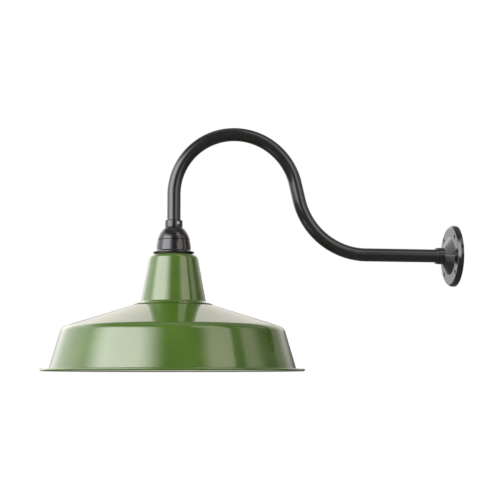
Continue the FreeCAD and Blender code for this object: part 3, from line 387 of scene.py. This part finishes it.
def vitreous_enamel(name, code, deep, roughness, peel):
    """Vitreous enamel: powdered glass fired on a spun steel sheet. It gives a deep colour under a clear
    glassy gloss, level rings from the spinning, a faint orange peel and slightly uneven colour where the
    coat is thicker."""
    material, tree, shader = start_material(name, IOR=1.55, Coat_Weight=1.0, Coat_Roughness=0.05,
                                            Coat_IOR=1.6)
    where = place_of(tree)
    cloud = noise(tree, where, 45 * MM, detail=3.0)
    rings = spun(tree, 2.2 * MM)
    tint = ramp(tree, cloud, 0.35, 0.65)
    colour = blend(tree, tint, linear(code), linear(deep))
    tree.links.new(colour, shader.inputs["Base Color"])
    gloss = ramp(tree, cloud, 0.3, 0.7, roughness * 0.85, roughness * 1.15)
    tree.links.new(gloss, shader.inputs["Roughness"])
    waves = relief(tree, rings, 0.010 * MM)
    peeled = relief(tree, noise(tree, where, 2.6 * MM, detail=2.0), peel, waves)
    tree.links.new(peeled, shader.inputs["Normal"])
    tree.links.new(peeled, shader.inputs["Coat Normal"])
    return material


def satin_paint(name, code, grain, depth, roughness):
    """Black stoving paint on metal: a nearly black, satin coat with a fine orange peel, slightly paler
    clouds where it is thin, and a little dust in it that breaks up the highlights."""
    thin, speck = linear("#262625"), linear("#3b3a38")
    material, tree, shader = start_material(name, IOR=1.62, Specular_Tint=linear("#f0f4ff"),
                                            Coat_Weight=0.5, Coat_Roughness=roughness * 0.6,
                                            Coat_IOR=1.5)
    where = place_of(tree)
    cloud = noise(tree, where, 9 * MM, detail=4.0)
    dust = noise(tree, where, 0.9 * MM, detail=2.0)
    colour = blend(tree, ramp(tree, cloud, 0.4, 0.75, 0.0, 0.35), linear(code), thin)
    colour = blend(tree, ramp(tree, dust, 0.68, 0.8, 0.0, 0.5), colour, speck)
    tree.links.new(colour, shader.inputs["Base Color"])
    gloss = ramp(tree, cloud, 0.3, 0.7, roughness * 0.85, roughness * 1.2)
    tree.links.new(gloss, shader.inputs["Roughness"])
    peeled = relief(tree, noise(tree, where, grain, detail=1.0), depth)
    tree.links.new(peeled, shader.inputs["Normal"])
    tree.links.new(peeled, shader.inputs["Coat Normal"])
    return material


def rubber(name, code):
    """Moulded rubber: dull, nearly black, with a fine grain that kills the gloss."""
    material, tree, shader = start_material(name, IOR=1.52)
    where = place_of(tree)
    grain = noise(tree, where, 0.8 * MM, detail=3.0)
    tree.links.new(blend(tree, grain, linear(code), linear("#2c2b29")), shader.inputs["Base Color"])
    tree.links.new(ramp(tree, grain, 0.3, 0.7, 0.65, 0.85), shader.inputs["Roughness"])
    tree.links.new(relief(tree, grain, 0.05 * MM), shader.inputs["Normal"])
    return material


def moulded_plastic(name, code, stripe=None):
    """Moulded plastic, and the pressed black glass in a lamp's cap: one even colour with a soft gloss and
    a faint skin. A stripe is a second colour along the middle of the piece, as on an earth wire."""
    material, tree, shader = start_material(name, IOR=1.5)
    where = place_of(tree)
    cloud = noise(tree, where, 1.5 * MM, detail=2.0)
    colour = blend(tree, ramp(tree, cloud, 0.3, 0.7, 0.0, 0.25), linear(code), linear("#8a8680"))
    if stripe:
        across = add_node(tree, "Math", {0: split(tree, where)[0]}, operation="ABSOLUTE").outputs[0]
        colour = blend(tree, ramp(tree, across, 0.42 * MM, 0.46 * MM), linear(stripe), colour)
    tree.links.new(colour, shader.inputs["Base Color"])
    tree.links.new(ramp(tree, cloud, 0.3, 0.7, 0.32, 0.45), shader.inputs["Roughness"])
    tree.links.new(relief(tree, cloud, 0.02 * MM), shader.inputs["Normal"])
    return material


def worked_metal(name, code, dull, roughness, line):
    """Bare or plated metal, turned or pressed: a clear metallic gloss with fine tool lines and a slight
    haze where hands and air have dulled it."""
    material, tree, shader = start_material(name, Metallic=1.0)
    where = place_of(tree)
    haze = noise(tree, where, 6 * MM, detail=4.0)
    lines = noise(tree, place_of(tree, scale=(1, 1, 12)), line, detail=2.0)
    colour = blend(tree, ramp(tree, haze, 0.4, 0.75), linear(code), linear(dull))
    tree.links.new(colour, shader.inputs["Base Color"])
    tree.links.new(ramp(tree, haze, 0.3, 0.7, roughness * 0.8, roughness * 1.3), shader.inputs["Roughness"])
    tree.links.new(relief(tree, lines, 0.01 * MM), shader.inputs["Normal"])
    return material


def glazed_porcelain(name, code):
    """Glazed porcelain: warm white under a thick clear glaze that pools a little and carries tiny pits."""
    material, tree, shader = start_material(name, IOR=1.5, Coat_Weight=1.0, Coat_Roughness=0.06)
    where = place_of(tree)
    cloud = noise(tree, where, 14 * MM, detail=3.0)
    tree.links.new(blend(tree, cloud, linear(code), linear("#ddd6c6")), shader.inputs["Base Color"])
    tree.links.new(ramp(tree, cloud, 0.3, 0.7, 0.25, 0.4), shader.inputs["Roughness"])
    tree.links.new(relief(tree, noise(tree, where, 4 * MM), 0.03 * MM), shader.inputs["Coat Normal"])
    return material


def pearl_glass(name, code):
    """Pearl lamp glass: etched inside, so it glows evenly white, and smooth outside, so it keeps a clear
    gloss."""
    material, tree, shader = start_material(name, IOR=1.5, Coat_Weight=0.6, Coat_Roughness=0.04,
                                            Subsurface_Weight=0.3, Subsurface_Scale=4 * MM)
    where = place_of(tree)
    etch = noise(tree, where, 0.7 * MM, detail=2.0)
    tree.links.new(blend(tree, etch, linear(code), linear("#e6e2d8")), shader.inputs["Base Color"])
    tree.links.new(ramp(tree, etch, 0.3, 0.7, 0.3, 0.42), shader.inputs["Roughness"])
    return material


def make_finishes(colours):
    """Every finish of the sconce, by the name of its slot."""
    return {
        "green_enamel": vitreous_enamel("green_enamel", colours.green, "#46661b", 0.16, 0.012 * MM),
        "white_enamel": vitreous_enamel("white_enamel", colours.white, "#e4e1d5", 0.25, 0.012 * MM),
        "arm_paint": satin_paint("black_arm_paint", colours.arm, 5 * MM, 0.003 * MM, 0.17),
        "plate_paint": satin_paint("black_plate_paint", colours.plate, 3 * MM, 0.005 * MM, 0.15),
        "cap_metal": satin_paint("black_cap_lacquer", colours.cap, 3 * MM, 0.004 * MM, 0.16),
        "gasket_rubber": rubber("gasket_rubber", "#1b1a19"),
        "black_plastic": moulded_plastic("black_bush_plastic", "#1c1c1d"),
        "block_plastic": moulded_plastic("cream_block_plastic", "#e5dfcd"),
        "live_insulation": moulded_plastic("brown_wire_plastic", "#5b3418"),
        "neutral_insulation": moulded_plastic("blue_wire_plastic", "#1f5fa8"),
        "earth_insulation": moulded_plastic("earth_wire_plastic", "#3c8a2e", "#d9cf2a"),
        "bright_steel": worked_metal("zinc_plated_steel", colours.steel, "#8f9193", 0.34, 0.5 * MM),
        "brass": worked_metal("turned_brass", colours.brass, "#9a7a3e", 0.25, 0.5 * MM),
        "solder": worked_metal("lamp_solder", "#b4b4b0", "#7e7e7a", 0.4, 0.8 * MM),
        "lamp_cap_metal": worked_metal("nickel_lamp_cap", "#c9c6be", "#9c988f", 0.22, 0.5 * MM),
        "black_glass": moulded_plastic("black_lamp_glass", "#0d0c0c"),
        "porcelain": glazed_porcelain("glazed_porcelain", colours.porcelain),
        "pearl_glass": pearl_glass("pearl_lamp_glass", colours.pearl),
    }


FINISHES = {}


def finish_of(slot):
    """The finish that belongs to a slot. All are made together, the first time that one is asked for."""
    if not FINISHES:
        FINISHES.update(make_finishes(bpy.context.scene.sconce_colours))
    return FINISHES[slot]


# ---------------------------------------------------------------------- the shade

class SCONCE_OT_shade(bpy.types.Operator):
    """Makes the neck and the dish, green outside and white inside"""
    bl_idname = "sconce.shade"
    bl_label = "Shade"
    cut_bulge = 0.2  # how far the neck's lower cut stands out, as a share of the last step of its outline

    def execute(self, context):
        s = context.scene.sconce_shade
        wall = math.pi / 2 - s.neck_rake
        foot_radius = s.neck_top + s.neck_height * math.tan(s.neck_rake)
        foot_level = NECK_LEVEL - s.neck_height
        tip = (foot_radius + s.flange * math.cos(s.fall), foot_level - s.flange * math.sin(s.fall))
        outside = rounded([(s.hole, NECK_LEVEL), (s.neck_top, NECK_LEVEL, s.neck_round),
                           (foot_radius, foot_level, s.foot_round), tip], steps=12)
        neck = finely(outside, SHADE_STEP)
        nose = (neck[-1] + beside(neck, -s.sheet)[-1]) / 2 + (neck[-1] - neck[-2]) * self.cut_bulge
        self.press("enamelled_neck", neck, nose[None], s.sheet, "shade_neck")

        # The dish starts where the neck's inner side meets the shoulder's.
        bisector = (wall + s.fall) / 2
        reach = s.sheet / math.cos((wall - s.fall) / 2)
        root = (foot_radius - reach * math.sin(bisector), foot_level - reach * math.cos(bisector))
        lap_top = (root[0] - s.lap * math.sin(s.neck_rake), root[1] + s.lap * math.cos(s.neck_rake))
        skirt_foot = RIM_RADIUS - s.lip
        brow = skirt_foot - s.skirt_height * math.tan(s.skirt_rake)
        brow_level = root[1] - (brow - root[0]) * math.tan(s.fall)
        lip_level = brow_level - s.skirt_height
        joint = RIM_RADIUS - s.bead - math.sqrt(s.bead ** 2 - (s.sheet / 2) ** 2)
        outside = rounded([lap_top, (root[0], root[1], s.foot_round - s.sheet),
                           (brow, brow_level, s.shoulder_round), (skirt_foot, lip_level, s.lip_round),
                           (joint, lip_level)], steps=14)
        tip = (RIM_RADIUS, lip_level - s.sheet / 2)
        bead = np.vstack([arc((joint, lip_level), tip, -s.bead, 10)[1:],
                          arc(tip, (joint, lip_level - s.sheet), -s.bead, 10)[1:]])
        self.press("enamelled_dish", finely(outside, SHADE_STEP), bead, s.sheet, "shade_dish")
        return {"FINISHED"}

    def press(self, name, outside, edge, sheet, node):
        """Joins a sheet's outside and its inside, one sheet's thickness away, by an edge, and turns the
        loop. The edge and the hole's cut are green like the outside."""
        loop = np.vstack([outside, edge, beside(outside, -sheet)[::-1]])
        slots = (np.arange(len(loop)) >= len(outside) + len(edge)).astype(int)
        slots[-1] = 0
        mesh = make_mesh(name, turned(loop, SHADE_SIDES), slots)
        add_piece(name, mesh, "fixture", node, "green_enamel", "white_enamel")


# ---------------------------------------------------------------------- the arm

def stretch(start, heading, length):
    """Points and headings along a straight, start + d (cos h, sin h), which isn't flattened anywhere."""
    along = np.linspace(0, length, max(2, math.ceil(length / TUBE_STEP)))[:, None]
    points = start + along * np.array([math.cos(heading), math.sin(heading)])
    return points, np.full(len(points), heading), np.zeros(len(points))


def bend(start, heading, radius, turn):
    """Points and headings along an arc, centre + r (sin h, -cos h), that turns left, or right where the
    turn is negative. The third array is each point's share of the flattening, from 0 at the ends to 1."""
    side = math.copysign(1, turn)
    centre = start + radius * side * np.array([-math.sin(heading), math.cos(heading)])
    share = np.linspace(0, 1, math.ceil(abs(turn) * radius / TUBE_STEP))
    headings = heading + turn * share
    points = centre + radius * side * np.stack([np.sin(headings), -np.cos(headings)], 1)
    inside = np.clip(np.minimum(share, 1 - share) / FLATTENING_RUN, 0, 1)
    return points, headings, inside * inside * (3 - 2 * inside)


def end_to_end(parts):
    """Parts of a route as one, each starting at the last point of the one before."""
    return [np.concatenate([first] + [column[1:] for column in others]) for first, *others in zip(*parts)]


class SCONCE_OT_arm(bpy.types.Operator):
    """Makes the bent conduit, slightly flattened in its bends"""
    bl_idname = "sconce.arm"
    bl_label = "Arm"

    def execute(self, context):
        s = context.scene.sconce_arm
        climb, downward = math.pi - s.steepness, 1.5 * math.pi
        drop = math.sin(s.steepness) * s.slant + s.lower_bend * (1 - math.cos(s.steepness))
        level = (-LAMP_Y - s.upper_bend * (1 + math.sin(s.steepness)) - s.slant * math.cos(s.steepness)
                 - s.lower_bend * math.sin(s.steepness) - TUBE_SEAT)
        leg_top = drop - s.upper_bend * math.cos(s.steepness)
        route = [stretch(np.array([-TUBE_SEAT, 0.0]), math.pi, level)]
        route.append(bend(route[-1][0][-1], math.pi, s.lower_bend, -s.steepness))
        route.append(stretch(route[-1][0][-1], climb, s.slant))
        route.append(bend(route[-1][0][-1], climb, s.upper_bend, downward - climb))
        route.append(stretch(route[-1][0][-1], downward, leg_top - TUBE_FOOT))
        centre, heading, inside = end_to_end(route)
        outer = self.around(centre, heading, s.radius, inside * s.flattening)
        inner = self.around(centre, heading, s.radius - s.wall, inside * s.flattening)
        mesh = make_mesh("bent_conduit", np.concatenate([outer, inner[::-1]]))
        add_piece("bent_conduit", mesh, "fixture", "arm_tube", "arm_paint")
        return {"FINISHED"}

    def around(self, centre, heading, radius, flattening):
        """The tube's surface: centre + r (1 + f) cos a across the arm's plane + r (1 - f) sin a in that
        plane, where f is the flattening at that point of the centreline."""
        angle = np.linspace(0, 2 * math.pi, TUBE_SIDES, endpoint=False)[None, :]
        wide, flat = radius * (1 + flattening[:, None]), radius * (1 - flattening[:, None])
        in_plane = flat * np.sin(angle)
        return np.stack([wide * np.cos(angle), centre[:, :1] - in_plane * np.sin(heading[:, None]),
                         centre[:, 1:] + in_plane * np.cos(heading[:, None])], 2)


# ---------------------------------------------------------------------- the cap

class SCONCE_OT_cap(bpy.types.Operator):
    """Makes the hollow bell cap with its rounded outline, its seam and its thread"""
    bl_idname = "sconce.cap"
    bl_label = "Bell cap"

    def execute(self, context):
        s = context.scene.sconce_cap
        inside = s.thread - s.wall
        thread_foot, seam_top = SEAM_LEVEL - s.thread_length, SEAM_LEVEL + s.groove
        step_foot, roof_under = BELL_TOP - s.bell_step, BELL_TOP - s.roof
        foot = rounded([(inside, thread_foot), (s.thread, thread_foot), (s.thread, SEAM_LEVEL),
                        (s.seam - s.groove, SEAM_LEVEL), (s.seam, seam_top)])
        outside = arc((s.seam, seam_top), (s.bell_top, step_foot), s.bell_round, 28)
        roof = rounded([(s.bell_top, step_foot), (s.bell_top, BELL_TOP, s.bell_step / 2),
                        (s.bore, BELL_TOP), (s.bore, roof_under), (s.bell_top, roof_under)], steps=5)
        hollow = arc((s.bell_top + s.groove, roof_under), (inside, SEAM_LEVEL), -s.bell_round, 16)
        bell = np.vstack([foot, outside[1:], roof[1:], hollow])
        mesh = make_mesh("bell_cap_shell", turned(bell, CAP_SIDES))
        add_piece("bell_cap_shell", mesh, "fixture", "bell_cap", "cap_metal")
        return {"FINISHED"}


# ---------------------------------------------------------------------- solids that keep their form

class SCONCE_OT_finishes(bpy.types.Operator):
    """Gives every solid that keeps its own form the finish of its slot"""
    bl_idname = "sconce.finishes"
    bl_label = "Finishes of the other pieces"

    def execute(self, context):
        # The solids that a new piece replaces are hidden by now.
        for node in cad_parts.values():
            if not node.hide_render:
                slot = node.data.materials[0].name.split(".")[0]
                node.material_slots[0].material = finish_of(slot)
        return {"FINISHED"}


# ---------------------------------------------------------------------- the studio

def window(tree, value, low, high):
    """1 between two edges and 0 outside them. An edge is its value and the width over which it fades."""
    sides = []
    for (edge, fade), before in ((low, 0.0), (high, 1.0)):
        values = {"Value": value, "From Min": edge - fade / 2, "From Max": edge + fade / 2,
                  "To Min": before, "To Max": 1 - before}
        sides.append(add_node(tree, "MapRange", values, interpolation_type="SMOOTHSTEP").outputs["Result"])
    return add_node(tree, "Math", {0: sides[0], 1: sides[1]}, operation="MULTIPLY").outputs[0]


class SCONCE_OT_studio(bpy.types.Operator):
    """Makes the floor, the white surround with its soft lights, and the camera"""
    bl_idname = "sconce.studio"
    bl_label = "Studio"

    def execute(self, context):
        s = context.scene.sconce_studio
        self.make_floor(s)
        self.make_surround(context.scene, s)
        self.make_camera(context.scene, s)
        context.scene.view_settings.view_transform = "Standard"
        return {"FINISHED"}

    def make_floor(self, s):
        """A plain pale floor, far below."""
        angle = np.linspace(0, 2 * math.pi, FLOOR_SIDES, endpoint=False)
        radius = np.array([0.0, 1.0, 3.0, 8.0])[:, None]
        depth = np.full((len(radius), FLOOR_SIDES), -s.floor_drop)
        points = np.stack([radius * np.cos(angle), radius * np.sin(angle), depth], 2)
        mesh = make_mesh("studio_floor", points, closed=False)
        material, tree, shader = start_material("pale_studio_floor", Roughness=0.8)
        cloud = noise(tree, place_of(tree), 300 * MM)
        colour = blend(tree, cloud, linear("#d2d2d0"), linear("#dcdcda"))
        tree.links.new(colour, shader.inputs["Base Color"])
        mesh.materials.append(material)
        floor = bpy.data.objects.new("studio_floor", mesh)
        floor.visible_glossy = False
        bpy.context.scene.collection.objects.link(floor)

    def make_surround(self, scene, s):
        """White behind the lamp, and round it the soft light that its surfaces reflect. Each light fills
        a span of turn, in degrees to the right of the camera as the lamp sees it, and a span of rise
        above the horizon. Every edge is given with the degrees over which it fades."""
        world = bpy.data.worlds.new("studio")
        world.use_nodes = True
        tree = world.node_tree
        tree.nodes.clear()
        way = add_node(tree, "TexCoord").outputs["Generated"]
        toward = (math.cos(s.yaw), -math.sin(s.yaw), 0)
        right = (math.sin(s.yaw), math.cos(s.yaw), 0)
        parts = [add_node(tree, "VectorMath", {0: way, 1: axis}, operation="DOT_PRODUCT").outputs["Value"]
                 for axis in (right, toward, (0, 0, 1))]
        turn = add_node(tree, "Math", {0: parts[0], 1: parts[1]}, operation="ARCTAN2").outputs[0]
        turn = add_node(tree, "Math", {0: turn}, operation="DEGREES").outputs[0]
        away = add_node(tree, "Math", {0: turn}, operation="ABSOLUTE").outputs[0]
        rise = add_node(tree, "Math", {0: parts[2]}, operation="ARCSINE").outputs[0]
        rise = add_node(tree, "Math", {0: rise}, operation="DEGREES").outputs[0]
        lights = (
            # the large light on the left and the reflector behind it
            (s.key, s.key_tint, turn, (-80, 30), (-19, 34), (-4, 12), (42, 20)),
            (s.key_wing, s.key_tint, turn, (-160, 34), (-80, 48), (-8, 12), (42, 20)),
            # the weaker light on the right, which is wider at its top and at its foot
            (s.fill, s.fill_tint, turn, (37, 16), (67, 4), (-4, 12), (40, 16)),
            (s.fill, s.fill_tint, turn, (28, 6), (67, 4), (40, 8), (60, 14)),
            (s.low_fill, s.fill_tint, turn, (25, 5), (42, 8), (4, 8), (24, 8)),
            # the two cards beyond it
            (s.near_card, s.fill_tint, turn, (79, 6), (98, 22), (-4, 12), (40, 16)),
            (s.far_card, s.fill_tint, turn, (121, 6), (150, 20), (-4, 12), (40, 16)),
            # the backdrop, the dim upper corners of the room and its ceiling, the same on both sides
            (s.backdrop, s.backdrop_tint, away, (145, 30), (220, 30), (9, 7), (36, 8)),
            (s.corners, s.backdrop_tint, away, (105, 30), (160, 30), (30, 20), (70, 20)),
            (s.ceiling, s.key_tint, away, (-20, 10), (220, 10), (70, 20), (120, 10)))
        total = (s.room, s.room, s.room)
        for radiance, tint, across, left_edge, right_edge, low_edge, high_edge in lights:
            spans = {0: window(tree, across, left_edge, right_edge),
                     1: window(tree, rise, low_edge, high_edge)}
            share = add_node(tree, "Math", spans, operation="MULTIPLY").outputs[0]
            light = tuple(radiance * part for part in linear(tint)[:3])
            sum_of = {0: share, 1: light, 2: total}
            total = add_node(tree, "VectorMath", sum_of, operation="MULTIPLY_ADD").outputs[0]
        seen = add_node(tree, "Background", {"Color": (1, 1, 1, 1), "Strength": 1.0})
        room = add_node(tree, "Background", {"Color": total, "Strength": 1.0})
        direct = add_node(tree, "LightPath").outputs["Is Camera Ray"]
        mixed = add_node(tree, "MixShader", {0: direct, 1: room.outputs[0], 2: seen.outputs[0]})
        add_node(tree, "OutputWorld", {"Surface": mixed.outputs[0]})
        scene.world = world

    def make_camera(self, scene, s):
        """A long lens aimed a little upwards, whose frame is also shifted up."""
        camera = bpy.data.cameras.new("camera")
        camera.lens, camera.sensor_width, camera.shift_y = s.lens, SENSOR_WIDTH, s.rise
        holder = bpy.data.objects.new("camera", camera)
        level = math.cos(s.pitch)
        ahead = Vector((-math.cos(s.yaw) * level, math.sin(s.yaw) * level, math.sin(s.pitch)))
        right = Vector((math.sin(s.yaw), math.cos(s.yaw), 0))
        turn = Matrix((right, right.cross(ahead), -ahead)).transposed()
        holder.matrix_world = Matrix.Translation(s.eye) @ turn.to_4x4()
        scene.collection.objects.link(holder)
        scene.camera = holder


# ---------------------------------------------------------------------- the add-on

STEPS = (SCONCE_OT_shade, SCONCE_OT_arm, SCONCE_OT_cap, SCONCE_OT_finishes, SCONCE_OT_studio)


class SCONCE_PT_panel(bpy.types.Panel):
    """Lists the pieces and the studio"""
    bl_idname = "SCONCE_PT_panel"
    bl_label = "Gooseneck sconce"
    bl_space_type = "VIEW_3D"
    bl_region_type = "UI"
    bl_category = "Sconce"

    def draw(self, context):
        for step in STEPS:
            self.layout.operator(step.bl_idname)


GROUPS = {"sconce_shade": SconceShadeSizes, "sconce_arm": SconceArmSizes, "sconce_cap": SconceCapSizes,
          "sconce_colours": SconceColours, "sconce_studio": SconceStudio}


def register():
    """Registers the classes and gives the scene its properties."""
    for group in GROUPS.values():
        bpy.utils.register_class(group)
    for step in STEPS:
        bpy.utils.register_class(step)
    bpy.utils.register_class(SCONCE_PT_panel)
    for name, group in GROUPS.items():
        setattr(bpy.types.Scene, name, PointerProperty(type=group))


def unregister():
    """Takes back what register did."""
    for name in GROUPS:
        delattr(bpy.types.Scene, name)
    bpy.utils.unregister_class(SCONCE_PT_panel)
    for step in reversed(STEPS):
        bpy.utils.unregister_class(step)
    for group in GROUPS.values():
        bpy.utils.unregister_class(group)


def main():
    """Makes the whole scene."""
    register()
    bpy.ops.sconce.shade()
    bpy.ops.sconce.arm()
    bpy.ops.sconce.cap()
    bpy.ops.sconce.finishes()
    bpy.ops.sconce.studio()


if __name__ == "__main__":
    main()
